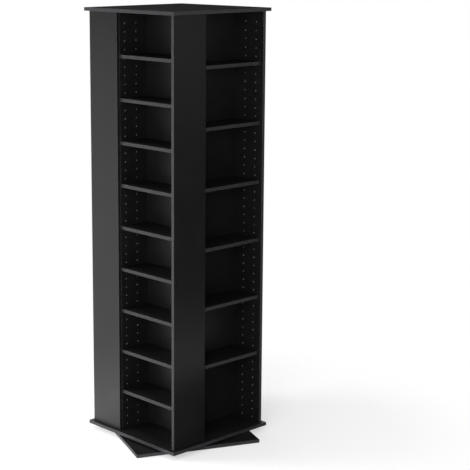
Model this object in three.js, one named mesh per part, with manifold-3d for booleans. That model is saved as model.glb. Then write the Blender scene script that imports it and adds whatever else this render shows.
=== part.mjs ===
// Rotating media tower: a four-sided shelf tower that spins on a flat base.
// Four side panels and four inner walls stand in a pinwheel between a bottom and a top panel.
// They leave one open bay of shelves on each side and a square shaft in the middle.
// Millimetres, +Z up. The origin is on the floor, at the middle of the base, on the spin axis.
// The tower stands square to X and Y. The base below it is turned, as the tower has been spun.

import * as THREE from 'three';
import { mergeVertices } from 'three/addons/utils/BufferGeometryUtils.js';
import Module from 'manifold-3d';

const wasm = await Module();
wasm.setup();

// Boards
const bodySide = 463;
const panelOverhang = 14;
const boardThickness = 12.7;
const clearHeight = 1594;
const bayDepth = 143;
const baseTurn = -23.3;

// Gaps between pieces
const seatGap = 0.3;
const pinGap = 0.3;
const shelfEndGap = 0.8;
const shelfBackGap = 1;
const overrun = 1;

// Peg holes and shelf supports
const holePitch = 32;
const firstHoleHeight = 16.8;
const frontHoleInset = 37;
const rearHoleInset = 92;
const holeDepth = 9.5;
const shelfThickness = 12.7;
const pinDiameter = 5;
const pinReach = 8;
const tabLength = 12;
const tabWidth = 9;
const tabThickness = 2;

// Swivel bearing
const swivelHeight = 8;
const plateSide = 229;
const plateThickness = 1.6;
const plateCornerRadius = 12;
const plateOpening = 144;
const ballCircle = 168;
const ballCount = 12;
const ballGap = 0.3;
const grooveDepth = 0.6;
const grooveWidth = 6;
const cageWidth = 12;
const cageThickness = 1.2;

// Screws
const plateScrewShank = 3.5;
const plateScrewHead = 8;
const plateScrewHeadHeight = 1.6;
const plateScrewLength = 9.5;
const lowerScrewInset = 10;
const upperScrewInset = 23;
const boardScrewShank = 4;
const boardScrewHead = 8;
const boardScrewHeadHeight = 3;
const boardScrewLength = 42;
const wallScrewInset = 32;
const screwGap = 0.3;

// Shelves on each side, as shares of the clear height.
// Each stands on the peg holes that are nearest to its share.
const smallCaseShares = [0.1, 0.2, 0.3, 0.4, 0.5, 0.6, 0.7, 0.8, 0.9];
const tallCaseShares = [0.18, 0.32, 0.46, 0.6, 0.74, 0.88];
const sides = [
  { letter: 'a', quarterTurns: -1, shelfHoles: smallCaseShares.map(nearestHole) },
  { letter: 'b', quarterTurns: 0, shelfHoles: tallCaseShares.map(nearestHole) },
  { letter: 'c', quarterTurns: 1, shelfHoles: tallCaseShares.map(nearestHole) },
  { letter: 'd', quarterTurns: 2, shelfHoles: tallCaseShares.map(nearestHole) },
];

// Sizes and heights that follow from the ones above
const half = bodySide / 2;
const panelSide = bodySide + 2 * panelOverhang;
const sideWidth = bayDepth + boardThickness;
const pinRadius = pinDiameter / 2;
const baseTop = boardThickness;
const bottomPanelUnderside = baseTop + swivelHeight;
const bottomPanelTop = bottomPanelUnderside + boardThickness;
const topPanelUnderside = bottomPanelTop + clearHeight;
const boardFoot = bottomPanelTop + seatGap;
const boardHeight = clearHeight - 2 * seatGap;
const lowerPlateBottom = baseTop + seatGap;
const lowerPlateTop = lowerPlateBottom + plateThickness;
const upperPlateTop = bottomPanelUnderside - seatGap;
const upperPlateBottom = upperPlateTop - plateThickness;
const swivelMiddle = (lowerPlateTop + upperPlateBottom) / 2;
const ballDiameter = upperPlateBottom - lowerPlateTop + 2 * grooveDepth - 2 * ballGap;

// Places in the plan of one side, which faces -Y before it is turned
const bayLeft = -half + sideWidth;
const bayRight = half - boardThickness;
const bayBack = -half + bayDepth;
const holeInsets = [frontHoleInset, rearHoleInset];

// Colours and finishes
const laminate = new THREE.MeshStandardMaterial({ color: 0x1b1b1d, roughness: 0.42, metalness: 0 });
const zinc = new THREE.MeshStandardMaterial({ color: 0xa9abad, roughness: 0.4, metalness: 0.9 });
const nylon = new THREE.MeshStandardMaterial({ color: 0xd8d6cf, roughness: 0.6, metalness: 0 });
const steel = new THREE.MeshStandardMaterial({ color: 0x8d8f92, roughness: 0.35, metalness: 0.9 });

// Solids

function solidOf(geometry) {
  const bare = geometry.clone();
  bare.deleteAttribute('normal');
  bare.deleteAttribute('uv');
  const merged = mergeVertices(bare);
  return new wasm.Manifold(new wasm.Mesh({
    numProp: 3,
    vertProperties: new Float32Array(merged.attributes.position.array),
    triVerts: new Uint32Array(merged.index.array),
  }));
}

function geometryOf(solid) {
  const { vertProperties, triVerts } = solid.getMesh();
  const geometry = new THREE.BufferGeometry();
  geometry.setAttribute('position', new THREE.BufferAttribute(vertProperties, 3));
  geometry.setIndex(new THREE.BufferAttribute(triVerts, 1));
  geometry.computeVertexNormals();
  return geometry;
}

function block(low, high) {
  const size = high.map((value, axis) => value - low[axis]);
  const middle = high.map((value, axis) => (value + low[axis]) / 2);
  return solidOf(new THREE.BoxGeometry(...size).translate(...middle));
}

// An upright round bar between two heights
function uprightBar(diameter, bottom, top, segments) {
  const bar = new THREE.CylinderGeometry(diameter / 2, diameter / 2, top - bottom, segments);
  return solidOf(bar.rotateX(Math.PI / 2).translate(0, 0, (bottom + top) / 2));
}

// A round bar along X, from one x to another, at a depth y and a height z
function crossBar(diameter, from, to, y, z, segments) {
  const bar = new THREE.CylinderGeometry(diameter / 2, diameter / 2, to - from, segments);
  return solidOf(bar.rotateZ(Math.PI / 2).translate((from + to) / 2, y, z));
}

// A solid of revolution about the Z axis, from [radius, height] pairs
function lathed(profile, segments) {
  const points = profile.map(([radius, height]) => new THREE.Vector2(radius, height));
  return solidOf(new THREE.LatheGeometry(points, segments).rotateX(Math.PI / 2));
}

// A flat ring of rectangular section
function ring(innerDiameter, outerDiameter, bottom, top, segments) {
  const inner = innerDiameter / 2;
  const outer = outerDiameter / 2;
  const section = [[inner, bottom], [outer, bottom], [outer, top], [inner, top], [inner, bottom]];
  return lathed(section, segments);
}

function addMesh(parent, name, solid, material) {
  const mesh = new THREE.Mesh(geometryOf(solid), material);
  mesh.name = name;
  parent.add(mesh);
  return mesh;
}

// The four corners of a square, inset from its sides
function corners(side, inset) {
  const reach = side / 2 - inset;
  return [[-reach, -reach], [reach, -reach], [reach, reach], [-reach, reach]];
}

// The peg hole, counted from the lowest, that is nearest to a share of the clear height
function nearestHole(share) {
  const pitchesInHeight = Math.round(clearHeight / holePitch);
  return Math.round(share * pitchesInHeight);
}

// Height of the middle of a peg hole, counted from the lowest
function holeHeight(number) {
  return bottomPanelTop + firstHoleHeight + (number - 1) * holePitch;
}

// How many sides round shapes have
const pinSegments = 6;
const smallSegments = 8;
const ringSegments = 36;

// Peg holes for the shelves that stand against one face of a board.
// The face is at x, and the holes run from it into the board along X.
function pegHoles(numbers, faceX, direction) {
  const mouth = faceX - direction * overrun;
  const end = faceX + direction * holeDepth;
  const holes = [];
  for (const number of numbers) {
    for (const inset of holeInsets) {
      const from = Math.min(mouth, end);
      const to = Math.max(mouth, end);
      const diameter = pinDiameter + 2 * pinGap;
      holes.push(crossBar(diameter, from, to, -half + inset, holeHeight(number), pinSegments));
    }
  }
  return wasm.Manifold.union(holes);
}

// Turns a solid about the Z axis by whole quarter turns
function turned(solid, quarterTurns) {
  return solid.rotate([0, 0, quarterTurns * 90]);
}

// The screw that holds a side panel or an inner wall to the bottom panel
function boardScrew() {
  return lathed([
    [0, 0],
    [boardScrewHead / 2, 0],
    [boardScrewShank / 2, boardScrewHeadHeight],
    [boardScrewShank / 2, boardScrewLength],
    [0, boardScrewLength],
  ], smallSegments);
}

// The room for that screw: a hole with a countersink, from the same sizes and the gap
function boardScrewRoom() {
  const mouth = boardScrewHead / 2 + screwGap;
  const shank = boardScrewShank / 2 + screwGap;
  const end = boardScrewLength + screwGap;
  return lathed([
    [0, -overrun],
    [mouth, -overrun],
    [mouth, 0],
    [shank, boardScrewHeadHeight],
    [shank, end],
    [0, end],
  ], smallSegments);
}

// Where the board screws stand in the plan of one side
const sideScrewPlace = [-half + sideWidth / 2, -half + boardThickness / 2];
const wallScrewPlace = [bayRight - wallScrewInset, bayBack + boardThickness / 2];

// Cuts the board screws' room out of a solid, on every side
function cutBoardScrews(solid) {
  let cut = solid;
  for (const side of sides) {
    for (const place of [sideScrewPlace, wallScrewPlace]) {
      const room = boardScrewRoom().translate([...place, bottomPanelUnderside]);
      cut = cut.subtract(turned(room, side.quarterTurns));
    }
  }
  return cut;
}

// The screws of the swivel plates: a pan head on the plate and a shank in the board
function plateScrew() {
  const shank = uprightBar(plateScrewShank, -plateScrewLength, overrun, smallSegments);
  return shank.add(uprightBar(plateScrewHead, 0, plateScrewHeadHeight, smallSegments));
}

// The room for a plate screw's shank, through a plate or into a board
function plateScrewRoom() {
  const wide = plateScrewShank + 2 * screwGap;
  return uprightBar(wide, -plateScrewLength - screwGap, overrun, smallSegments);
}

const lowerScrewSeat = lowerPlateTop + screwGap;
const upperScrewSeat = upperPlateBottom - screwGap;

function lowerScrewRooms() {
  return wasm.Manifold.union(corners(plateSide, lowerScrewInset).map(([x, y]) =>
    plateScrewRoom().translate([x, y, lowerScrewSeat])));
}

function upperScrewRooms() {
  return wasm.Manifold.union(corners(plateSide, upperScrewInset).map(([x, y]) =>
    plateScrewRoom().rotate([180, 0, 0]).translate([x, y, upperScrewSeat])));
}

// Base: the square panel that stays on the floor
function buildBase(base) {
  const reach = panelSide / 2;
  const panel = block([-reach, -reach, 0], [reach, reach, baseTop]);
  addMesh(base, 'base_panel', panel.subtract(lowerScrewRooms()), laminate);
}

// Swivel: two square plates with facing grooves, and a cage of balls that rolls between them

function swivelPlate(bottom, top, grooveBottom, grooveTop) {
  const reach = plateSide / 2 - plateCornerRadius;
  const outline = new THREE.Shape();
  outline.absarc(reach, reach, plateCornerRadius, 0, Math.PI / 2);
  outline.absarc(-reach, reach, plateCornerRadius, Math.PI / 2, Math.PI);
  outline.absarc(-reach, -reach, plateCornerRadius, Math.PI, 1.5 * Math.PI);
  outline.absarc(reach, -reach, plateCornerRadius, 1.5 * Math.PI, 2 * Math.PI);
  const settings = { depth: top - bottom, bevelEnabled: false, curveSegments: smallSegments };
  const sheet = solidOf(new THREE.ExtrudeGeometry(outline, settings).translate(0, 0, bottom));
  const opening = uprightBar(plateOpening, bottom - overrun, top + overrun, ringSegments);
  const groove = ring(
    ballCircle - grooveWidth, ballCircle + grooveWidth, grooveBottom, grooveTop, ringSegments);
  return sheet.subtract(opening).subtract(groove);
}

function buildLowerSwivel(base) {
  const plate = swivelPlate(
    lowerPlateBottom, lowerPlateTop, lowerPlateTop - grooveDepth, lowerPlateTop + overrun);
  addMesh(base, 'swivel_lower_plate', plate.subtract(lowerScrewRooms()), zinc);
  corners(plateSide, lowerScrewInset).forEach(([x, y], index) => {
    const screw = addMesh(base, `swivel_lower_screw_${index + 1}`, plateScrew(), steel);
    screw.position.set(x, y, lowerScrewSeat);
  });
}

function buildUpperSwivel(tower) {
  const plate = swivelPlate(
    upperPlateBottom, upperPlateTop, upperPlateBottom - overrun, upperPlateBottom + grooveDepth);
  addMesh(tower, 'swivel_upper_plate', plate.subtract(upperScrewRooms()), zinc);
  corners(plateSide, upperScrewInset).forEach(([x, y], index) => {
    const screw = addMesh(tower, `swivel_upper_screw_${index + 1}`, plateScrew(), steel);
    screw.position.set(x, y, upperScrewSeat);
    screw.rotation.x = Math.PI;
  });
}

function buildBallCage(parent) {
  const inner = ballCircle - cageWidth;
  const outer = ballCircle + cageWidth;
  const rounds = [ring(inner, outer, -cageThickness / 2, cageThickness / 2, ringSegments)];
  for (let index = 0; index < ballCount; index += 1) {
    const angle = (index / ballCount) * 2 * Math.PI;
    const ball = new THREE.SphereGeometry(ballDiameter / 2, smallSegments, smallSegments / 2);
    ball.rotateX(Math.PI / 2);
    ball.translate(Math.cos(angle) * ballCircle / 2, Math.sin(angle) * ballCircle / 2, 0);
    rounds.push(solidOf(ball));
  }
  const cage = addMesh(parent, 'swivel_ball_cage', wasm.Manifold.union(rounds), nylon);
  cage.position.z = swivelMiddle;
}

// Top and bottom panels of the tower
function buildPanels(tower) {
  const reach = panelSide / 2;
  const bottom = block([-reach, -reach, bottomPanelUnderside], [reach, reach, bottomPanelTop]);
  addMesh(tower, 'bottom_panel', cutBoardScrews(bottom.subtract(upperScrewRooms())), laminate);
  const topPanelTop = topPanelUnderside + boardThickness;
  const top = block([-reach, -reach, topPanelUnderside], [reach, reach, topPanelTop]);
  addMesh(tower, 'top_panel', top, laminate);
}

// Side panel: the flat outer board at the left of a side.
// Its inner face is the right-hand wall of the bay on the side before.
function buildSidePanel(parent, side, sideBefore) {
  const board = block(
    [-half, -half, boardFoot],
    [-half + sideWidth, -half + boardThickness, boardFoot + boardHeight]);
  const holes = turned(pegHoles(sideBefore.shelfHoles, bayRight, 1), -1);
  addMesh(parent, `side_panel_${side.letter}`, cutBoardScrews(board.subtract(holes)), laminate);
}

// Inner wall: the back of a side's own bay, and the left-hand wall of the bay on the next side
function buildInnerWall(parent, side, sideAfter) {
  const wall = block(
    [bayLeft + seatGap, bayBack, boardFoot],
    [bayRight - seatGap, bayBack + boardThickness, boardFoot + boardHeight]);
  const holes = turned(pegHoles(sideAfter.shelfHoles, bayLeft, -1), 1);
  addMesh(parent, `inner_wall_${side.letter}`, cutBoardScrews(wall.subtract(holes)), laminate);
}

// Shelf: a loose board with a metal support under each corner, whose pin stands in a peg hole
function shelfSolid() {
  const underside = pinRadius;
  const left = bayLeft + shelfEndGap;
  const right = bayRight - shelfEndGap;
  const front = -half + boardThickness;
  const back = bayBack - shelfBackGap;
  const parts = [block([left, front, underside], [right, back, underside + shelfThickness])];
  for (const inset of holeInsets) {
    const y = -half + inset;
    const near = y - tabWidth / 2;
    const far = y + tabWidth / 2;
    const tabBottom = underside - tabThickness;
    const tabTop = underside + tabThickness;
    parts.push(block([left, near, tabBottom], [left + tabLength, far, tabTop]));
    parts.push(block([right - tabLength, near, tabBottom], [right, far, tabTop]));
    const pinIn = tabLength / 2;
    parts.push(crossBar(pinDiameter, bayLeft - pinReach, left + pinIn, y, 0, pinSegments));
    parts.push(crossBar(pinDiameter, right - pinIn, bayRight + pinReach, y, 0, pinSegments));
  }
  return wasm.Manifold.union(parts);
}

function buildShelves(parent, side) {
  const shelf = shelfSolid();
  side.shelfHoles.forEach((number, index) => {
    const mesh = addMesh(parent, `shelf_${side.letter}${index + 1}`, shelf, laminate);
    mesh.position.z = holeHeight(number);
  });
}

// Screws from below, one in each side panel and one in each inner wall
function buildBoardScrews(parent, side) {
  const inSide = addMesh(parent, `side_panel_screw_${side.letter}`, boardScrew(), steel);
  inSide.position.set(...sideScrewPlace, bottomPanelUnderside + screwGap);
  const inWall = addMesh(parent, `inner_wall_screw_${side.letter}`, boardScrew(), steel);
  inWall.position.set(...wallScrewPlace, bottomPanelUnderside + screwGap);
}

function buildSides(tower) {
  sides.forEach((side, index) => {
    const before = sides[(index + sides.length - 1) % sides.length];
    const after = sides[(index + 1) % sides.length];
    const quarter = new THREE.Group();
    quarter.rotation.z = side.quarterTurns * Math.PI / 2;
    buildSidePanel(quarter, side, before);
    buildInnerWall(quarter, side, after);
    buildShelves(quarter, side);
    buildBoardScrews(quarter, side);
    tower.add(quarter);
  });
}

const mediaTower = new THREE.Group();

const base = new THREE.Group();
base.rotation.z = THREE.MathUtils.degToRad(baseTurn);
buildBase(base);
buildLowerSwivel(base);
mediaTower.add(base);

buildBallCage(mediaTower);

const tower = new THREE.Group();
buildUpperSwivel(tower);
buildPanels(tower);
buildSides(tower);
mediaTower.add(tower);

export default mediaTower;
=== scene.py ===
# Looks of the rotating media tower, built round its fixed frame. Metres, +Z up.
# A side's boards are made in the plan of the side that faces -Y, and then turned by quarter turns.

import math
from collections import namedtuple

import bmesh
import bpy
from mathutils import Matrix, Vector


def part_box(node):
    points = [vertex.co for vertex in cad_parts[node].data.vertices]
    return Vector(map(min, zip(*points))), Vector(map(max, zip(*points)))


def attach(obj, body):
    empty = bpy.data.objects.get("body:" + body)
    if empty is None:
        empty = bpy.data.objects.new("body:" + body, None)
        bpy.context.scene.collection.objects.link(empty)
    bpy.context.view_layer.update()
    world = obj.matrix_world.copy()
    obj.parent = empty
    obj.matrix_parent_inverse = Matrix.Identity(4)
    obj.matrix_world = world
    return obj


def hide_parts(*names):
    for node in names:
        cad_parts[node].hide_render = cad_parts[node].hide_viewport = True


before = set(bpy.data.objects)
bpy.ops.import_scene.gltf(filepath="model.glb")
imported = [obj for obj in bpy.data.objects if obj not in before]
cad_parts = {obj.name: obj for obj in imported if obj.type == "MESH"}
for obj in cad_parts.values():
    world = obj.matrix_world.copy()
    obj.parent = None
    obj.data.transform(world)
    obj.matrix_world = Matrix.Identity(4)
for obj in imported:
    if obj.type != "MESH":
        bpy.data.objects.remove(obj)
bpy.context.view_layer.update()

# Sides of the tower, as quarter turns from the side that faces -Y
SIDES = {"a": -1, "b": 0, "c": 1, "d": 2}
X, Y, Z = range(3)
QUARTER_TURN = math.pi / 2
FULL_TURN = 2 * math.pi
BASE_TURN = math.radians(-23.3)

# Boards. Corners of more than CORNER_ANGLE, in radians, are eased. A face is square to an axis when
# its normal has a part of more than SQUARE along it.
EDGE_EASE = 0.0006
EASE_STEPS = 2
ROUND_PROFILE = 0.5
CORNER_ANGLE = 1
TOLERANCE = 1e-6
SQUARE = 0.99

# Places in a board's list of materials: laminate, edge band, worn rim and bored hole
LAMINATED, BANDED, EASED, BORED = range(4)

# Peg holes, on the face of a board that looks along +Y in its side's plan. Each column of them
# stands in a strip of the face that reaches HOLE_MARGIN to both sides.
HOLE_PITCH = 0.032
FIRST_HOLE_HEIGHT = 0.0168
HOLE_ROWS = 49
FRONT_HOLE_INSET = 0.037
REAR_HOLE_INSET = 0.092
HOLE_RADIUS = 0.0026
MOUTH_RADIUS = 0.0028
MOUTH_DEPTH = 0.0004
HOLE_DEPTH = 0.0095
HOLE_MARGIN = 0.004
HOLE_SIDES = 16

# Shelf supports
PIN_REACH = 0.008
PIN_RADIUS = 0.0024
PIN_DROP = 0.0025
COLLAR_RADIUS = 0.0038
COLLAR_THICKNESS = 0.0007
SHELF_END_GAP = 0.0008
TONGUE_LENGTH = 0.012
TONGUE_WIDTH = 0.009
TONGUE_THICKNESS = 0.0016
SUPPORT_SIDES = 20
SUPPORT_SMOOTH_ANGLE = math.radians(35)

# Swivel bearing
PLATE_CORNER_RADIUS = 0.012
PLATE_OPENING_RADIUS = 0.072
PLATE_EASE = 0.0002
CORNER_STEPS = 6
SIDE_STEPS = 24
BEARING_SMOOTH_ANGLE = math.radians(30)
BALL_CIRCLE_RADIUS = 0.084
BALL_RADIUS = 0.0024
BALL_COUNT = 12
BALL_SEGMENTS = 24
BALL_RINGS = 16
SMOOTH_ALL_ROUND = math.pi
GROOVE_DEPTH = 0.0006
GROOVE_WIDTH = 0.006
GROOVE_STEPS = 8
CAGE_WIDTH = 0.012
CAGE_THICKNESS = 0.0012
CAGE_WEB_THICKNESS = 0.0008
CAGE_RIM_WIDTH = 0.0015
STEPS_A_BALL = 6
POCKET_RADIUS = 0.00255
POCKET_STEPS = 24

# Screws: rings of a head, from its face on, as pairs of a radius and a height
PAN_HEAD = [
    (0.0027, 0), (0.0035, 0.00015), (0.0039, 0.0005), (0.004, 0.0009), (0.004, 0.0016),
    (0.0012, 0.0016),
]
FLAT_HEAD = [(0.0038, 0), (0.004, 0.00015), (0.004, 0.0004), (0.0015, 0.003)]
SCREW_SIDES = 24
SCREW_SMOOTH_ANGLE = math.radians(40)
SCREWS_A_PLATE = 4
THREAD_PITCH = 0.0016
THREAD_DEPTH = 0.0005
THREAD_STEPS_A_TURN = 6
TIP_LENGTH = 0.003
TIP_SHARE = 0.25
PAN_HEAD_RECESS = 0.0011
FLAT_HEAD_RECESS = 0.0018
RECESS_REACH = 0.0021
RECESS_HALF_WIDTH = 0.00045
RECESS_FLOOR_SHARE = 0.6
COUNTERSINK_RADIUS = 0.0043
COUNTERSINK_FLOOR_RADIUS = 0.0022
COUNTERSINK_DEPTH = 0.0034
CUT_OVERRUN = 0.0005

# Camera; the lens and the sensor in millimetres
CAMERA_PLACE = (-3.4661, -3.7615, 1.8753)
CAMERA_YAW = math.radians(42.704)
CAMERA_PITCH = math.radians(-11.114)
CAMERA_LENS = 104.89
CAMERA_SENSOR = 36
CAMERA_SHIFT = (0.12, -0.05)

# Stage. The floor has a share of plain white near the tower and turns white between two distances.
FLOOR_REACH = 30
FLOOR_DROP = 0.0003
FLOOR_COLOUR = (0.95, 0.95, 0.95)
PLAIN_FLOOR_SHARE = 0.5
WHITE_FROM = 0.85
WHITE_BY = 1.2
BAND_RADIUS = 2.4
BAND_SIDES = 64
BAND_FOOT = 0.3
BAND_HEIGHT = 4.45
CEILING_SIDE = 4.3
CARD_SIDE = 3.2
CARD_LEAN = math.radians(62)
CARD_FOOT = Vector((0.75, -0.2465, 0.0137))
MAT_SIDE = 1.6
MAT_START = 0.123
MAT_LIFT = 0.0002
PALE_MAT_SIDE = 3.2
PALE_MAT_MIDDLE = (-1.9, 1)

# The cards glow and only the tower's reflections show them; their brightness paints the reflections
# on its laminate.
# Brightness of the cards, as pairs of a distance from the foot and a share of plain white
BAND_SHADES = [(0, 0.8), (0.75, 0.47), (1.35, 0.47), (1.5, 0), (BAND_HEIGHT, 0)]
CARD_SHADES = [
    (0, 0), (0.22, 0), (0.32, 0.31), (0.5, 0.07), (0.68, 0), (1.1, 0.01), (1.4, 0.07), (1.75, 0.19),
    (CARD_SIDE, 0.19),
]
MAT_SHADES = [(0, 0.045), (MAT_SIDE, 0.045)]
# The pale mat glows brighter than plain white, a painted highlight at the foot of the side that
# faces -X.
PALE_MAT_SHADES = [
    (0, 0.8), (0.82, 0.8), (0.95, 1.64), (1.12, 1.64), (1.4, 0.69), (PALE_MAT_SIDE, 0.69),
]
CEILING_SHADES = [(0, 0), (CEILING_SIDE, 0)]

# Lights; the power in watts
PLAIN_WHITE = (1, 1, 1, 1)
WORLD_STRENGTH = 0.45
Softbox = namedtuple("Softbox", "place target width height power in_gloss")
SOFTBOXES = {
    "key": Softbox((-1.65, 1.5, 0.95), (0, 0, 0.5), 0.9, 1.3, 52, in_gloss=False),
    "fill": Softbox((-2.9, -2.5, 1.8), (0, 0, 0.8), 1.6, 1.6, 92, in_gloss=False),
    "overhead": Softbox((-0.6, 0.2, 6), (0, 0, 0.8), 2.4, 2.4, 138, in_gloss=True),
}

# Textures: repeats in a metre along each axis, and levels of detail
GRAIN_ACROSS = 1300
GRAIN_ALONG = 38
GRAIN_DETAIL = 3
CLOUDS = {"stretch": (7, 7, 7), "detail": 5}
SMEARS = {"stretch": (26, 26, 9), "detail": 6}
EDGE_BAND_STREAKS = {"stretch": (420, 420, 420), "detail": 3}
EDGE_BAND_WEAR = {"stretch": (60, 60, 60), "detail": 6}
RIM_WEAR = {"stretch": (90, 90, 90), "detail": 7}
CORE_CHIPS = (950, 950, 950)
CORE_GRIT = {"stretch": (600, 600, 600), "detail": 4}
METAL_SCUFFS = {"stretch": (300, 300, 300), "detail": 6}
NYLON_CLOUDS = {"stretch": (110, 110, 110), "detail": 5}
ZINC_CRYSTALS = (260, 260, 260)
STEEL_CRYSTALS = (900, 900, 900)

# The range that a noise mostly fills, and the one in which a rim's black is rubbed thin
NOISE_LEAST = 0.3
NOISE_MOST = 0.7
RUBBED_LEAST = 0.45
RUBBED_MOST = 0.72

# Finishes: darkest and lightest colour, least and most roughness, and depth of the bump
Finish = namedtuple("Finish", "dark light smooth rough bump")
LAMINATE_FINISH = Finish((0.0054, 0.0054, 0.0058), (0.0098, 0.0098, 0.0105), 0.38, 0.5, 0.00006)
EDGE_BAND_FINISH = Finish((0.021, 0.0215, 0.024), (0.035, 0.036, 0.0395), 0.4, 0.56, 0.00005)
SHELF_BAND_FINISH = Finish((0.0165, 0.017, 0.019), (0.0275, 0.0285, 0.031), 0.4, 0.56, 0.00005)
RIM_FINISH = Finish((0.024, 0.0245, 0.027), (0.08, 0.08, 0.083), 0.36, 0.6, 0)
CORE_FINISH = Finish((0.118, 0.112, 0.104), (0.192, 0.186, 0.177), 0.75, 0.95, 0.0002)
ZINC_FINISH = Finish((0.46, 0.47, 0.49), (0.66, 0.67, 0.69), 0.28, 0.44, 0.00004)
STEEL_FINISH = Finish((0.33, 0.33, 0.35), (0.5, 0.5, 0.52), 0.26, 0.4, 0.00004)
NYLON_FINISH = Finish((0.58, 0.56, 0.5), (0.7, 0.68, 0.62), 0.45, 0.6, 0.0001)
LAMINATE_SPECULAR = 0.68
BUMP_STRENGTH = 0.5


# Materials

def new_material(name):
    material = bpy.data.materials.new(name)
    material.use_nodes = True
    tree = material.node_tree
    return material, tree, tree.nodes["Principled BSDF"]


def texture(tree, kind, stretch):
    """A texture over the piece's own coordinates; stretch is its repeats in a metre on each axis."""
    place = tree.nodes.new("ShaderNodeTexCoord")
    mapping = tree.nodes.new("ShaderNodeMapping")
    mapping.inputs["Scale"].default_value = stretch
    made = tree.nodes.new(kind)
    made.inputs["Scale"].default_value = 1
    tree.links.new(place.outputs["Object"], mapping.inputs["Vector"])
    tree.links.new(mapping.outputs["Vector"], made.inputs["Vector"])
    return made


def noise(tree, stretch, detail):
    made = texture(tree, "ShaderNodeTexNoise", stretch)
    made.inputs["Detail"].default_value = detail
    return made.outputs["Fac"]


def cells(tree, stretch):
    """A value for each cell of a mosaic, between 0 and 1."""
    made = texture(tree, "ShaderNodeTexVoronoi", stretch)
    return in_range(tree, made.outputs["Color"], 0, 1, least=0, most=1)


def in_range(tree, value, low, high, least=NOISE_LEAST, most=NOISE_MOST):
    """The value, mapped from the range between least and most to the one between low and high."""
    made = tree.nodes.new("ShaderNodeMapRange")
    numbers = {"From Min": least, "From Max": most, "To Min": low, "To Max": high}
    for socket, number in numbers.items():
        made.inputs[socket].default_value = number
    tree.links.new(value, made.inputs["Value"])
    return made.outputs["Result"]


def between(tree, share, dark, light):
    """A colour between two others."""
    made = tree.nodes.new("ShaderNodeMix")
    made.data_type = "RGBA"
    colours = [socket for socket in made.inputs if socket.type == "RGBA"]
    colours[0].default_value = (*dark, 1)
    colours[1].default_value = (*light, 1)
    tree.links.new(share, made.inputs["Factor"])
    return next(socket for socket in made.outputs if socket.type == "RGBA")


def combined(tree, operation, first, second):
    """The sum, product or the like of two values."""
    made = tree.nodes.new("ShaderNodeMath")
    made.operation = operation
    tree.links.new(first, made.inputs[0])
    tree.links.new(second, made.inputs[1])
    return made.outputs[0]


def mean(tree, first, second):
    """The mean of two values."""
    halved = tree.nodes.new("ShaderNodeMath")
    halved.operation = "MULTIPLY"
    halved.inputs[1].default_value = 0.5
    tree.links.new(combined(tree, "ADD", first, second), halved.inputs[0])
    return halved.outputs[0]


def add_bump(tree, shader, height, depth):
    made = tree.nodes.new("ShaderNodeBump")
    made.inputs["Strength"].default_value = BUMP_STRENGTH
    made.inputs["Distance"].default_value = depth
    tree.links.new(height, made.inputs["Height"])
    tree.links.new(made.outputs["Normal"], shader.inputs["Normal"])


def add_finish(tree, shader, finish, shade, wear, height=None):
    """A finish's colour by a shade from 0 to 1, roughness by a noise and bump by a height."""
    tree.links.new(between(tree, shade, finish.dark, finish.light), shader.inputs["Base Color"])
    tree.links.new(in_range(tree, wear, finish.smooth, finish.rough), shader.inputs["Roughness"])
    if height is not None:
        add_bump(tree, shader, height, finish.bump)


def laminate(name, along):
    """Black satin laminate with a faint embossed grain along one axis."""
    material, tree, shader = new_material(name)
    grain_stretch = [GRAIN_ACROSS] * 3
    grain_stretch[along] = GRAIN_ALONG
    grain = noise(tree, grain_stretch, GRAIN_DETAIL)
    clouds = noise(tree, **CLOUDS)
    smears = noise(tree, **SMEARS)
    shade = in_range(tree, mean(tree, grain, clouds), 0, 1)
    add_finish(tree, shader, LAMINATE_FINISH, shade, mean(tree, clouds, smears), grain)
    shader.inputs["Specular IOR Level"].default_value = LAMINATE_SPECULAR
    return material


def edge_band(name, finish):
    """The edge band, a little paler than the laminate, with fine streaks and wear."""
    material, tree, shader = new_material(name)
    streaks = noise(tree, **EDGE_BAND_STREAKS)
    wear = noise(tree, **EDGE_BAND_WEAR)
    shade = in_range(tree, mean(tree, streaks, wear), 0, 1)
    add_finish(tree, shader, finish, shade, wear, streaks)
    return material


def worn_rim():
    """The eased rim of a board, where the black is rubbed thin in places."""
    material, tree, shader = new_material("worn_rim")
    wear = noise(tree, **RIM_WEAR)
    shade = in_range(tree, wear, 0, 1, least=RUBBED_LEAST, most=RUBBED_MOST)
    add_finish(tree, shader, RIM_FINISH, shade, wear)
    return material


def board_core():
    """Pressed wood chips, bare inside the bored holes."""
    material, tree, shader = new_material("board_core")
    chips = cells(tree, CORE_CHIPS)
    add_finish(tree, shader, CORE_FINISH, chips, noise(tree, **CORE_GRIT), chips)
    return material


def metal(name, finish, crystal_stretch):
    """Bare or plated steel with crystals of one size."""
    material, tree, shader = new_material(name)
    shader.inputs["Metallic"].default_value = 1
    crystals = cells(tree, crystal_stretch)
    scuffs = noise(tree, **METAL_SCUFFS)
    add_finish(tree, shader, finish, mean(tree, crystals, scuffs), scuffs, scuffs)
    return material


def nylon():
    """The off-white plastic of the ball cage."""
    material, tree, shader = new_material("nylon")
    clouds = noise(tree, **NYLON_CLOUDS)
    add_finish(tree, shader, NYLON_FINISH, in_range(tree, clouds, 0, 1), clouds, clouds)
    return material


UPRIGHT_LAMINATE = laminate("laminate_upright", along=Z)
LEVEL_LAMINATE = laminate("laminate_level", along=X)
EDGE_BAND = edge_band("edge_band", EDGE_BAND_FINISH)
SHELF_BAND = edge_band("shelf_edge_band", SHELF_BAND_FINISH)
WORN_RIM = worn_rim()
BOARD_CORE = board_core()
ZINC = metal("zinc", ZINC_FINISH, ZINC_CRYSTALS)
STEEL = metal("screw_steel", STEEL_FINISH, STEEL_CRYSTALS)
NYLON = nylon()

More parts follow.
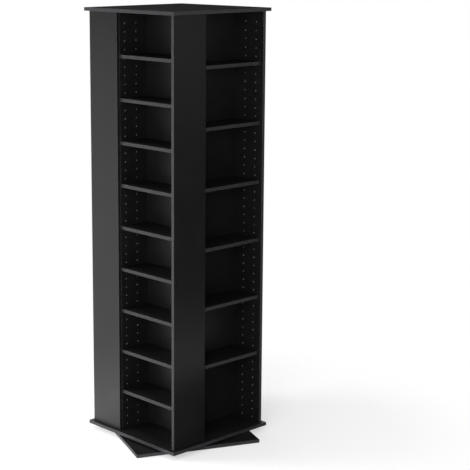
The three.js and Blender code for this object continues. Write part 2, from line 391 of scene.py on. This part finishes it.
# Lists of materials for the boards
LEVEL_MATERIALS = (LEVEL_LAMINATE, EDGE_BAND, WORN_RIM, BOARD_CORE)
UPRIGHT_MATERIALS = (UPRIGHT_LAMINATE, EDGE_BAND, WORN_RIM, BOARD_CORE)
SHELF_MATERIALS = (LEVEL_LAMINATE, SHELF_BAND, WORN_RIM)


# Pieces

def add_piece(mesh, body, materials, turn=0, place=Matrix(), replaced=()):
    """A piece of a body with the mesh's name, put in its place and then turned about the Z axis."""
    piece = bpy.data.objects.new(mesh.name, mesh)
    bpy.context.scene.collection.objects.link(piece)
    piece.matrix_world = Matrix.Rotation(turn, 4, "Z") @ place
    for material in materials:
        mesh.materials.append(material)
    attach(piece, body)
    if replaced:
        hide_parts(*replaced)


def finished_mesh(name, bm, smooth_angle=None):
    """A mesh from the bmesh, with faces that look out and round stretches shaded smooth."""
    bmesh.ops.recalc_face_normals(bm, faces=bm.faces)
    mesh = bpy.data.meshes.new(name)
    bm.to_mesh(mesh)
    bm.free()
    if smooth_angle is not None:
        for polygon in mesh.polygons:
            polygon.use_smooth = True
        mesh.set_sharp_from_angle(angle=smooth_angle)
    return mesh


def cut(mesh, rooms):
    """The mesh with the rooms, another mesh, taken out of it."""
    body, tool = (bpy.data.objects.new("cut", data) for data in (mesh, rooms))
    for thing in (body, tool):
        bpy.context.scene.collection.objects.link(thing)
    modifier = body.modifiers.new("cut", "BOOLEAN")
    modifier.operation = "DIFFERENCE"
    modifier.object = tool
    graph = bpy.context.evaluated_depsgraph_get()
    made = bpy.data.meshes.new_from_object(body.evaluated_get(graph))
    name = mesh.name
    for thing in (body, tool):
        data = thing.data
        bpy.data.objects.remove(thing)
        bpy.data.meshes.remove(data)
    made.name = name
    return made


def add_loft(bm, rings, closed=False):
    """Adds a skin that runs through rings of points; closed joins the last ring to the first,
    and otherwise both are capped."""
    loops = [[bm.verts.new(point) for point in ring] for ring in rings]
    faces = []
    for first, second in zip(loops, loops[1:] + (loops[:1] if closed else [])):
        for index in range(len(first)):
            after = (index + 1) % len(first)
            faces.append(bm.faces.new([first[index], first[after], second[after], second[index]]))
    if not closed:
        faces += [bm.faces.new(loops[0]), bm.faces.new(loops[-1])]
    return faces


def circle(radius, height, steps, middle=(0, 0)):
    angles = [FULL_TURN * step / steps for step in range(steps)]
    return [
        (middle[0] + radius * math.cos(angle), middle[1] + radius * math.sin(angle), height)
        for angle in angles
    ]


def add_surround(bm, corners, ring):
    """Faces between four corners and a ring of vertices inside them. Both go round the same way,
    and the first corner lies an eighth of a turn past the ring's first vertex."""
    quarter = len(ring) // 4
    for index, corner in enumerate(corners):
        start = quarter // 2 + index * quarter
        arc = [ring[(start + step) % len(ring)] for step in range(quarter + 1)]
        bm.faces.new([corner, corners[(index + 1) % 4], *reversed(arc)])


def turn_of(letter):
    return SIDES[letter] * QUARTER_TURN


def plan_box(node, letter):
    """A node's lowest and highest corner in the plan of its own side."""
    back = Matrix.Rotation(-turn_of(letter), 3, "Z")
    first, second = (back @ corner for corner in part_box(node))
    return Vector(map(min, first, second)), Vector(map(max, first, second))


# Boards, with two laminated faces, banded edges, a worn rim and bored holes

def on_rim(vert, low, high):
    """Whether a vertex lies on an edge of the board's box, and so on two or more of its faces."""
    on_faces = [
        min(abs(part - least), abs(part - most)) < TOLERANCE
        for part, least, most in zip(vert.co, low, high)
    ]
    return sum(on_faces) >= 2


def ease_edges(bm, low, high):
    """Rounds the edges of a board's box, but not those of its holes."""
    sharp = [
        edge for edge in bm.edges
        if edge.calc_face_angle(0) > CORNER_ANGLE
        and all(on_rim(vert, low, high) for vert in edge.verts)
    ]
    bmesh.ops.bevel(
        bm, geom=sharp, offset=EDGE_EASE, segments=EASE_STEPS, profile=ROUND_PROFILE,
        affect="EDGES")


def paint_board(bm, thin_axis):
    """Gives each face of a board its material, by the way it looks."""
    for face in bm.faces:
        if face.material_index == BORED:
            continue
        face.normal_update()
        along_axes = [abs(part) for part in face.normal]
        if along_axes[thin_axis] > SQUARE:
            face.material_index = LAMINATED
        else:
            face.material_index = BANDED if max(along_axes) > SQUARE else EASED


def plain_board(name, low, high, thin_axis):
    bm = bmesh.new()
    size = high - low
    middle = (low + high) / 2
    bmesh.ops.create_cube(
        bm, size=1, matrix=Matrix.Translation(middle) @ Matrix.Diagonal((*size, 1)))
    ease_edges(bm, low, high)
    paint_board(bm, thin_axis)
    return finished_mesh(name, bm)


def hole_outline(bm, radius, x, y, z):
    """The vertices of a circle round a hole's axis, which runs along Y."""
    angles = [FULL_TURN * index / HOLE_SIDES for index in range(HOLE_SIDES)]
    return [
        bm.verts.new((x + radius * math.cos(angle), y, z + radius * math.sin(angle)))
        for angle in angles
    ]


def bore(bm, corners, x, y, z):
    """A bored hole with a slightly chipped mouth, in a rectangle of the face.
    The rectangle's corners go round from the upper right one."""
    rings = [
        hole_outline(bm, MOUTH_RADIUS, x, y, z),
        hole_outline(bm, HOLE_RADIUS, x, y - MOUTH_DEPTH, z),
        hole_outline(bm, HOLE_RADIUS, x, y - HOLE_DEPTH, z),
    ]
    add_surround(bm, corners, rings[0])
    for outer, inner in zip(rings, rings[1:]):
        for index in range(HOLE_SIDES):
            after = (index + 1) % HOLE_SIDES
            wall = bm.faces.new([outer[index], outer[after], inner[after], inner[index]])
            wall.material_index = BORED
    bm.faces.new(rings[-1]).material_index = BORED


def close_sides(bm, back, front):
    """Faces all round between two grids of vertices, a board's back and front."""
    across = len(back) - 1
    upward = len(back[0]) - 1
    for i in range(across):
        for j in (0, upward):
            bm.faces.new([back[i][j], back[i + 1][j], front[i + 1][j], front[i][j]])
    for j in range(upward):
        for i in (0, across):
            bm.faces.new([back[i][j], back[i][j + 1], front[i][j + 1], front[i][j]])


def laminate_end(bm, end):
    """Laminates the end that looks towards +X, like the faces."""
    for face in bm.faces:
        if face.normal.x > SQUARE and face.calc_center_median().x > end - EDGE_EASE:
            face.material_index = LAMINATED


def drilled_board(name, low, high, places, heights):
    """An upright board, thin along Y, with a grid of bored holes in the face that looks along +Y.
    Its end towards +X stands beside a bay and is laminated."""
    xs = [low.x, *(x + step for x in places for step in (-HOLE_MARGIN, HOLE_MARGIN)), high.x]
    rows = [height - HOLE_PITCH / 2 for height in heights]
    zs = [low.z, *rows, rows[-1] + HOLE_PITCH, high.z]
    bm = bmesh.new()
    back = [[bm.verts.new((x, low.y, z)) for z in zs] for x in xs]
    front = [[bm.verts.new((x, high.y, z)) for z in zs] for x in xs]
    for i in range(len(xs) - 1):
        for j in range(len(zs) - 1):
            bm.faces.new([back[i][j], back[i + 1][j], back[i + 1][j + 1], back[i][j + 1]])
            corners = [front[i + 1][j + 1], front[i][j + 1], front[i][j], front[i + 1][j]]
            if i % 2 and 1 <= j <= len(rows):
                bore(bm, corners, places[i // 2], high.y, heights[j - 1])
            else:
                bm.faces.new(corners)
    close_sides(bm, back, front)
    bmesh.ops.recalc_face_normals(bm, faces=bm.faces)
    ease_edges(bm, low, high)
    paint_board(bm, thin_axis=Y)
    laminate_end(bm, high.x)
    return finished_mesh(name, bm)


def countersinks():
    """The rooms for the heads of the screws that go up through the bottom panel. They reach a little
    past its face, for a clean cut."""
    bm = bmesh.new()
    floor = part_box("bottom_panel")[0].z
    heights = (floor - CUT_OVERRUN, floor, floor + COUNTERSINK_DEPTH)
    radii = (COUNTERSINK_RADIUS, COUNTERSINK_RADIUS, COUNTERSINK_FLOOR_RADIUS)
    for node in board_screw_nodes():
        low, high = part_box(node)
        middle = (low + high) / 2
        rings = [
            circle(radius, height, SCREW_SIDES, middle) for radius, height in zip(radii, heights)
        ]
        for face in add_loft(bm, rings):
            face.material_index = BORED
    return finished_mesh("countersinks", bm)


def add_level_panels():
    """The top panel, and the bottom panel, which screws go up through."""
    top = plain_board("top_panel_board", *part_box("top_panel"), thin_axis=Z)
    add_piece(top, "tower", LEVEL_MATERIALS, replaced=["top_panel"])
    whole = plain_board("bottom_panel_board", *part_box("bottom_panel"), thin_axis=Z)
    rooms = countersinks()
    for mesh in (whole, rooms):
        for material in LEVEL_MATERIALS:
            mesh.materials.append(material)
    bottom = cut(whole, rooms)
    add_piece(bottom, "tower", (), replaced=["bottom_panel"])


def add_base_panel():
    """The base panel is as large as the top panel, and turned."""
    low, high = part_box("top_panel")
    low.z, high.z = (corner.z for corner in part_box("base_panel"))
    mesh = plain_board("base_panel_board", low, high, thin_axis=Z)
    add_piece(
        mesh, "base", LEVEL_MATERIALS, turn=BASE_TURN, replaced=["base_panel"])


def hole_heights():
    """The heights of the holes' axes, from the foot up."""
    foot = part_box("bottom_panel")[1].z + FIRST_HOLE_HEIGHT
    return [foot + row * HOLE_PITCH for row in range(HOLE_ROWS)]


def add_upright_boards(letter):
    """A side's outer panel and its inner wall, bored for the shelves that stand against them."""
    half = -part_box("side_panel_b")[0].y
    insets = (FRONT_HOLE_INSET, REAR_HOLE_INSET)
    places = {
        "side_panel_" + letter: [-half + inset for inset in insets],
        "inner_wall_" + letter: [half - inset for inset in reversed(insets)],
    }
    for node, hole_places in places.items():
        low, high = plan_box(node, letter)
        mesh = drilled_board(node + "_board", low, high, hole_places, hole_heights())
        add_piece(
            mesh, "tower", UPRIGHT_MATERIALS,
            turn=turn_of(letter), replaced=[node])


# Shelves and their supports

def add_bar(bm, start, end, radius):
    """A round bar along X between two points, closed at both ends."""
    length = abs(end.x - start.x)
    lying = Matrix.Rotation(QUARTER_TURN, 4, "Y")
    bmesh.ops.create_cone(
        bm, cap_ends=True, segments=SUPPORT_SIDES, radius1=radius, radius2=radius, depth=length,
        matrix=Matrix.Translation((start + end) / 2) @ lying)


def add_tongue(bm, foot, direction):
    """The flat tongue under the shelf, with a round end away from the wall."""
    radius = TONGUE_WIDTH / 2
    reach = TONGUE_LENGTH - radius
    steps = SUPPORT_SIDES // 2
    outline = [(0, -radius)]
    for step in range(steps + 1):
        angle = -QUARTER_TURN + math.pi * step / steps
        outline.append((reach + radius * math.cos(angle), radius * math.sin(angle)))
    outline.append((0, radius))
    rings = [
        [bm.verts.new((foot.x + direction * x, foot.y + y, foot.z + z)) for x, y in outline]
        for z in (0, TONGUE_THICKNESS)
    ]
    bm.faces.new(rings[0])
    bm.faces.new(rings[1])
    for index in range(len(outline)):
        after = (index + 1) % len(outline)
        bm.faces.new([rings[0][index], rings[0][after], rings[1][after], rings[1][index]])


def add_support(bm, wall_point, direction):
    """A pin in its hole, a thin collar on the wall and a tongue under the shelf. The direction,
    1 or -1, is the one in which they stand out from the wall along X."""
    def along(distance):
        return wall_point + Vector((direction * distance, 0, 0))

    add_bar(bm, along(-PIN_REACH), along(TONGUE_LENGTH / 2), PIN_RADIUS)
    add_bar(bm, along(0), along(COLLAR_THICKNESS), COLLAR_RADIUS)
    lift = Vector((0, 0, PIN_DROP - TONGUE_THICKNESS))
    add_tongue(bm, along(SHELF_END_GAP) + lift, direction)


def shelf_board_box(node, letter):
    """A shelf's board without its supports, which reach into the walls beside it."""
    low, high = plan_box(node, letter)
    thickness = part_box("top_panel")[1].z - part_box("top_panel")[0].z
    return (
        Vector((low.x + PIN_REACH + SHELF_END_GAP, low.y, high.z - thickness)),
        Vector((high.x - PIN_REACH - SHELF_END_GAP, high.y, high.z)),
    )


def add_shelf(node, letter):
    mesh = plain_board(node + "_board", *shelf_board_box(node, letter), thin_axis=Z)
    add_piece(
        mesh, "tower", SHELF_MATERIALS, turn=turn_of(letter), replaced=[node])


def add_shelf_supports(node, letter):
    """The four supports that a loose shelf lies on."""
    low, high = plan_box(node, letter)
    front = plan_box("side_panel_" + letter, letter)[0].y
    height = shelf_board_box(node, letter)[0].z - PIN_DROP
    walls = {low.x + PIN_REACH: 1, high.x - PIN_REACH: -1}
    bm = bmesh.new()
    for wall, direction in walls.items():
        for inset in (FRONT_HOLE_INSET, REAR_HOLE_INSET):
            add_support(bm, Vector((wall, front + inset, height)), direction)
    mesh = finished_mesh(node + "_supports", bm, smooth_angle=SUPPORT_SMOOTH_ANGLE)
    add_piece(mesh, "tower", [ZINC], turn=turn_of(letter))


def add_sides():
    """The boards of each side, and the shelves of the bay behind it."""
    for letter in SIDES:
        add_upright_boards(letter)
        for node in sorted(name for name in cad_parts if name.startswith("shelf_" + letter)):
            add_shelf(node, letter)
            add_shelf_supports(node, letter)


# Swivel bearing

def plate_outline(half):
    """Points round a square with round corners, from one of its corners on."""
    straight = half - PLATE_CORNER_RADIUS
    points = []
    for quarter in range(4):
        turn = Matrix.Rotation(quarter * QUARTER_TURN, 2)
        for step in range(CORNER_STEPS + 1):
            angle = QUARTER_TURN * step / CORNER_STEPS
            arm = Vector((math.cos(angle), math.sin(angle))) * PLATE_CORNER_RADIUS
            points.append(turn @ (Vector((straight, straight)) + arm))
        for step in range(1, SIDE_STEPS):
            points.append(turn @ Vector((straight - 2 * straight * step / SIDE_STEPS, half)))
    return points


def plate_mesh(name, half, face, back):
    """A pressed plate between two heights, with a round opening and a groove for the balls."""
    outline = plate_outline(half)
    into = math.copysign(1, back - face)

    def drawn_in(radius, height):
        return [(*(point.normalized() * radius), height) for point in outline]

    def edge(inset, height):
        return [(*point, height) for point in plate_outline(half - inset)]

    rings = [drawn_in(PLATE_OPENING_RADIUS, back), drawn_in(PLATE_OPENING_RADIUS, face)]
    for step in range(GROOVE_STEPS + 1):
        share = step / GROOVE_STEPS
        depth = GROOVE_DEPTH * math.sin(share * math.pi) ** 2
        radius = BALL_CIRCLE_RADIUS + (share - 0.5) * GROOVE_WIDTH
        rings.append(drawn_in(radius, face + into * depth))
    rings += [edge(PLATE_EASE, face), edge(0, face + into * PLATE_EASE)]
    rings += [edge(0, back - into * PLATE_EASE), edge(PLATE_EASE, back)]
    bm = bmesh.new()
    add_loft(bm, rings, closed=True)
    return finished_mesh(name, bm, smooth_angle=BEARING_SMOOTH_ANGLE)


def add_swivel_plates():
    """The plate under the tower, and the one on the base, which is as large and turned with it."""
    low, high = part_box("swivel_upper_plate")
    upper = plate_mesh("swivel_plate_upper", high.x, low.z, high.z)
    add_piece(upper, "tower", [ZINC], replaced=["swivel_upper_plate"])
    bottom, top = (corner.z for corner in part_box("swivel_lower_plate"))
    lower = plate_mesh("swivel_plate_lower", high.x, top, bottom)
    add_piece(
        lower, "base", [ZINC], turn=BASE_TURN, replaced=["swivel_lower_plate"])


def ball_angles():
    """Each ball stands in the middle of the first of its own steps round the cage."""
    return [FULL_TURN * (index + 0.5 / STEPS_A_BALL) / BALL_COUNT for index in range(BALL_COUNT)]


def ball_place(angle):
    return Vector((math.cos(angle), math.sin(angle), 0)) * BALL_CIRCLE_RADIUS


def pocket_ring(bm, angle, height):
    """The vertices round a ball's pocket, from the one that lies farthest out."""
    turn = Matrix.Rotation(angle, 4, "Z")
    points = circle(POCKET_RADIUS, height, POCKET_STEPS, (BALL_CIRCLE_RADIUS, 0))
    return [bm.verts.new(turn @ Vector(point)) for point in points]


def add_pocket(bm, angle, faces):
    """Opens a round pocket through the cage, in the faces of its web above and below."""
    def past_ring_start(vert):
        from_middle = vert.co - ball_place(angle)
        return (math.atan2(from_middle.y, from_middle.x) - angle) % FULL_TURN

    rings = []
    for face in faces:
        ring = pocket_ring(bm, angle, face.verts[0].co.z)
        add_surround(bm, sorted(face.verts, key=past_ring_start), ring)
        rings.append(ring)
    bmesh.ops.delete(bm, geom=faces, context="FACES_ONLY")
    above, below = rings
    for index in range(POCKET_STEPS):
        after = (index + 1) % POCKET_STEPS
        bm.faces.new([above[index], above[after], below[after], below[index]])


def cage_mesh(height):
    """A thin ring with thicker rims and a round pocket for each ball."""
    rim = CAGE_THICKNESS / 2
    web = CAGE_WEB_THICKNESS / 2
    inner = BALL_CIRCLE_RADIUS - CAGE_WIDTH / 2
    outer = BALL_CIRCLE_RADIUS + CAGE_WIDTH / 2
    half_section = [
        (inner, rim), (inner + CAGE_RIM_WIDTH, rim), (inner + CAGE_RIM_WIDTH, web),
        (outer - CAGE_RIM_WIDTH, web), (outer - CAGE_RIM_WIDTH, rim), (outer, rim),
    ]
    section = half_section + [(radius, -rise) for radius, rise in reversed(half_section)]
    steps = STEPS_A_BALL * BALL_COUNT
    bm = bmesh.new()
    rings = [circle(radius, height + rise, steps) for radius, rise in section]
    faces = add_loft(bm, rings, closed=True)
    webs = [
        section.index((inner + CAGE_RIM_WIDTH, web)),
        section.index((outer - CAGE_RIM_WIDTH, -web)),
    ]
    for index, angle in enumerate(ball_angles()):
        add_pocket(bm, angle, [faces[start * steps + index * STEPS_A_BALL] for start in webs])
    return finished_mesh("swivel_cage", bm, smooth_angle=BEARING_SMOOTH_ANGLE)


def add_ball_cage():
    """The cage, and its balls as one piece."""
    low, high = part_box("swivel_ball_cage")
    height = (low.z + high.z) / 2
    cage = cage_mesh(height)
    add_piece(cage, "ball_cage", [NYLON], replaced=["swivel_ball_cage"])
    bm = bmesh.new()
    for angle in ball_angles():
        bmesh.ops.create_uvsphere(
            bm, u_segments=BALL_SEGMENTS, v_segments=BALL_RINGS, radius=BALL_RADIUS,
            matrix=Matrix.Translation(ball_place(angle) + Vector((0, 0, height))))
    balls = finished_mesh("swivel_balls", bm, smooth_angle=SMOOTH_ALL_ROUND)
    add_piece(balls, "ball_cage", [STEEL])


# Screws

def cross_ring(share, height):
    """A cross's outline at a share of its size, with as many points as a ring of the screw has."""
    reach = RECESS_REACH * share
    half_width = RECESS_HALF_WIDTH * share
    halfway = (reach + half_width) / 2
    arm = [
        (reach, 0), (reach, half_width), (halfway, half_width),
        (half_width, half_width), (half_width, halfway), (half_width, reach),
    ]
    turns = [Matrix.Rotation(quarter * QUARTER_TURN, 2) for quarter in range(4)]
    return [(*(turn @ Vector(point)), height) for turn in turns for point in arm]


def threaded_ring(radius, height, depth):
    """A ring of a screw's skin, which stands out by the depth where the thread's ridge passes."""
    points = []
    for x, y, _ in circle(1, height, SCREW_SIDES):
        turns = height / THREAD_PITCH - math.atan2(y, x) / FULL_TURN
        share = 1 - abs(2 * (turns % 1) - 1)
        reach = radius + depth * share
        points.append((reach * x, reach * y, height))
    return points


def screw_mesh(name, head, recess_depth, length):
    """A screw that points up, with its head's face at height 0, a cross recess and a thread."""
    shank_radius, neck = head[-1]
    rings = [cross_ring(RECESS_FLOOR_SHARE, recess_depth), cross_ring(1, 0)]
    rings += [circle(radius, height, SCREW_SIDES) for radius, height in head]
    count = round((length - neck) / THREAD_PITCH * THREAD_STEPS_A_TURN)
    for step in range(1, count + 1):
        height = neck + (length - neck) * step / count
        to_tip = min(1, (length - height) / TIP_LENGTH)
        radius = shank_radius * (TIP_SHARE + (1 - TIP_SHARE) * to_tip)
        rings.append(threaded_ring(radius, height, THREAD_DEPTH * to_tip))
    bm = bmesh.new()
    add_loft(bm, rings)
    return finished_mesh(name, bm, smooth_angle=SCREW_SMOOTH_ANGLE)


def board_screw_nodes():
    return [f"{board}_screw_{letter}" for board in ("side_panel", "inner_wall") for letter in SIDES]


def add_screw(node, body, head, recess_depth, points_up=True):
    """A screw in the place of its node, pointing up or down."""
    low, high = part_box(node)
    middle = (low + high) / 2
    face = low.z if points_up else high.z
    mesh = screw_mesh(node + "_threaded", head, recess_depth, high.z - low.z)
    place = Matrix.Translation((middle.x, middle.y, face))
    if not points_up:
        place @= Matrix.Rotation(math.pi, 4, "X")
    add_piece(mesh, body, [STEEL], place=place, replaced=[node])


def add_screws():
    for node in board_screw_nodes():
        add_screw(node, "tower", FLAT_HEAD, FLAT_HEAD_RECESS)
    for number in range(1, SCREWS_A_PLATE + 1):
        add_screw(f"swivel_upper_screw_{number}", "tower", PAN_HEAD, PAN_HEAD_RECESS)
        add_screw(
            f"swivel_lower_screw_{number}", "base", PAN_HEAD, PAN_HEAD_RECESS, points_up=False)


# Stage, light and camera

def seen_ray(tree):
    """1 for rays that show what is behind the object: camera, glossy and transmission rays."""
    path = tree.nodes.new("ShaderNodeLightPath")
    direct = combined(tree, "MAXIMUM", path.outputs["Is Camera Ray"], path.outputs["Is Glossy Ray"])
    return combined(tree, "MAXIMUM", direct, path.outputs["Is Transmission Ray"])


def mixed_shader(tree, share, first, second):
    made = tree.nodes.new("ShaderNodeMixShader")
    tree.links.new(share, made.inputs[0])
    tree.links.new(first.outputs[0], made.inputs[1])
    tree.links.new(second.outputs[0], made.inputs[2])
    return made


def show(tree, shader, output_kind="ShaderNodeOutputMaterial"):
    """Makes a shader what the tree shows."""
    output = tree.nodes.new(output_kind)
    tree.links.new(shader.outputs[0], output.inputs["Surface"])


def stage_material(name):
    material = bpy.data.materials.new(name)
    material.use_nodes = True
    material.node_tree.nodes.clear()
    return material, material.node_tree


def white_share(tree):
    """The share of plain white that grows with the distance from the tower, in seen rays only."""
    place = tree.nodes.new("ShaderNodeTexCoord")
    distance = tree.nodes.new("ShaderNodeVectorMath")
    distance.operation = "LENGTH"
    tree.links.new(place.outputs["Object"], distance.inputs[0])
    far = in_range(
        tree, distance.outputs["Value"], PLAIN_FLOOR_SHARE, 1, least=WHITE_FROM, most=WHITE_BY)
    return combined(tree, "MULTIPLY", far, seen_ray(tree))


def floor_material():
    """A pale floor that keeps the object's shadow and fades to plain white away from it."""
    material, tree = stage_material("pale_floor")
    matt = tree.nodes.new("ShaderNodeBsdfDiffuse")
    matt.inputs["Color"].default_value = (*FLOOR_COLOUR, 1)
    white = tree.nodes.new("ShaderNodeEmission")
    show(tree, mixed_shader(tree, white_share(tree), matt, white))
    return material


def add_stage_thing(name, bm, material):
    """A thing of the stage, which is no part of the object."""
    mesh = finished_mesh(name, bm)
    mesh.materials.append(material)
    thing = bpy.data.objects.new(name, mesh)
    bpy.context.scene.collection.objects.link(thing)
    return thing


def add_sheet(name, size, material):
    """A flat square of the stage."""
    bm = bmesh.new()
    bmesh.ops.create_grid(bm, x_segments=1, y_segments=1, size=size / 2)
    return add_stage_thing(name, bm, material)


def add_floor():
    floor = add_sheet("floor", 2 * FLOOR_REACH, floor_material())
    floor.location.z = -FLOOR_DROP


def background(tree, strength):
    made = tree.nodes.new("ShaderNodeBackground")
    made.inputs["Color"].default_value = PLAIN_WHITE
    made.inputs["Strength"].default_value = strength
    return made


def set_world():
    """Soft grey light all round, which shows as plain white behind the object."""
    world = bpy.data.worlds.new("studio")
    world.use_nodes = True
    bpy.context.scene.world = world
    tree = world.node_tree
    tree.nodes.clear()
    light = background(tree, WORLD_STRENGTH)
    white = background(tree, 1)
    show(tree, mixed_shader(tree, seen_ray(tree), light, white), "ShaderNodeOutputWorld")


def look_at(thing, target):
    thing.rotation_euler = (Vector(target) - thing.location).to_track_quat("-Z", "Y").to_euler()


def add_softbox(name, box):
    light = bpy.data.lights.new(name, "AREA")
    light.shape = "RECTANGLE"
    light.size = box.width
    light.size_y = box.height
    light.energy = box.power
    lamp = bpy.data.objects.new(name, light)
    bpy.context.scene.collection.objects.link(lamp)
    lamp.location = box.place
    lamp.visible_camera = False
    lamp.visible_glossy = box.in_gloss
    look_at(lamp, box.target)


def grey_ramp(tree, share, shades):
    """The greys of the shades, spread over a share from 0 to 1."""
    length = shades[-1][0]
    ramp = tree.nodes.new("ShaderNodeValToRGB")
    stops = ramp.color_ramp.elements
    for distance, _ in shades[1:-1]:
        stops.new(distance / length)
    for stop, (distance, grey) in zip(stops, shades):
        stop.position = distance / length
        stop.color = (grey, grey, grey, 1)
    tree.links.new(share, ramp.inputs["Fac"])
    return ramp.outputs["Color"]


def glow_for_reflections(name, axis, shades):
    """A glowing sheet with a given brightness at each distance from its foot along one of its axes;
    only reflections show it, so this brightness is painted reflection on the tower.
    """
    material, tree = stage_material(name)
    half = shades[-1][0] / 2
    place = tree.nodes.new("ShaderNodeTexCoord")
    parts = tree.nodes.new("ShaderNodeSeparateXYZ")
    tree.links.new(place.outputs["Object"], parts.inputs["Vector"])
    share = in_range(tree, parts.outputs[axis], 0, 1, least=-half, most=half)
    glow = tree.nodes.new("ShaderNodeEmission")
    tree.links.new(grey_ramp(tree, share, shades), glow.inputs["Color"])
    show(tree, glow)
    return material


def show_in_gloss_only(card):
    for ray in ("camera", "diffuse", "transmission", "shadow", "volume_scatter"):
        setattr(card, "visible_" + ray, False)


def add_band():
    """A round glowing curtain that darkens from its foot up, with a black ceiling over it; both
    paint the reflections on the tower's sides and top.
    """
    bm = bmesh.new()
    bmesh.ops.create_cone(
        bm, cap_ends=False, segments=BAND_SIDES, radius1=BAND_RADIUS, radius2=BAND_RADIUS,
        depth=BAND_HEIGHT)
    band = add_stage_thing("band", bm, glow_for_reflections("band_reflection_glow", Z, BAND_SHADES))
    band.location.z = BAND_FOOT + BAND_HEIGHT / 2
    ceiling = add_sheet("ceiling", CEILING_SIDE, glow_for_reflections("ceiling_reflection_glow", Y, CEILING_SHADES))
    ceiling.location.z = BAND_FOOT + BAND_HEIGHT
    return [band, ceiling]


def add_leaning_card():
    """A dark glowing card that leans away from the side that faces -Y, from the foot of the tower
    up; its graded brightness paints the reflections on that side.
    """
    card = add_sheet("leaning_card", CARD_SIDE, glow_for_reflections("card_reflection_glow", Y, CARD_SHADES))
    card.rotation_euler.x = math.pi - CARD_LEAN
    up_the_card = Vector((0, -math.cos(CARD_LEAN), math.sin(CARD_LEAN)))
    card.location = CARD_FOOT + up_the_card * CARD_SIDE / 2
    return card


def add_mats():
    """A dark glowing mat along the base's edge that faces -Y, from MAT_START past its end towards -X
    on, and a pale one on the floor towards -X. They paint a dark reflection on that edge of the base
    and a bright one at the foot of the side that faces -X."""
    mat = add_sheet("dark_mat", MAT_SIDE, glow_for_reflections("dark_mat_reflection_glow", Y, MAT_SHADES))
    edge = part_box("top_panel")[0]
    height = MAT_LIFT - FLOOR_DROP
    middle = Vector((edge.x + MAT_START + MAT_SIDE / 2, edge.y - MAT_SIDE / 2, height))
    mat.location = Matrix.Rotation(BASE_TURN, 3, "Z") @ middle
    mat.rotation_euler.z = BASE_TURN
    pale = add_sheet("pale_mat", PALE_MAT_SIDE, glow_for_reflections("pale_mat_reflection_glow", Y, PALE_MAT_SHADES))
    pale.location = (*PALE_MAT_MIDDLE, height)
    return [mat, pale]


def add_cards():
    """The glowing cards round the tower, which only its gloss shows; they paint its reflections."""
    for thing in [*add_band(), add_leaning_card(), *add_mats()]:
        show_in_gloss_only(thing)


def add_lights():
    for name, box in SOFTBOXES.items():
        add_softbox(name, box)


def add_camera():
    data = bpy.data.cameras.new("camera")
    data.sensor_width = CAMERA_SENSOR
    data.lens = CAMERA_LENS
    data.shift_x, data.shift_y = CAMERA_SHIFT
    camera = bpy.data.objects.new("camera", data)
    bpy.context.scene.collection.objects.link(camera)
    camera.location = CAMERA_PLACE
    level = math.cos(CAMERA_PITCH)
    ahead = Vector((
        math.sin(CAMERA_YAW) * level, math.cos(CAMERA_YAW) * level, math.sin(CAMERA_PITCH)))
    look_at(camera, camera.location + ahead)
    bpy.context.scene.camera = camera


add_level_panels()
add_base_panel()
add_sides()
add_swivel_plates()
add_ball_cage()
add_screws()
add_floor()
set_world()
add_lights()
add_cards()
add_camera()
bpy.context.scene.view_settings.view_transform = "Standard"
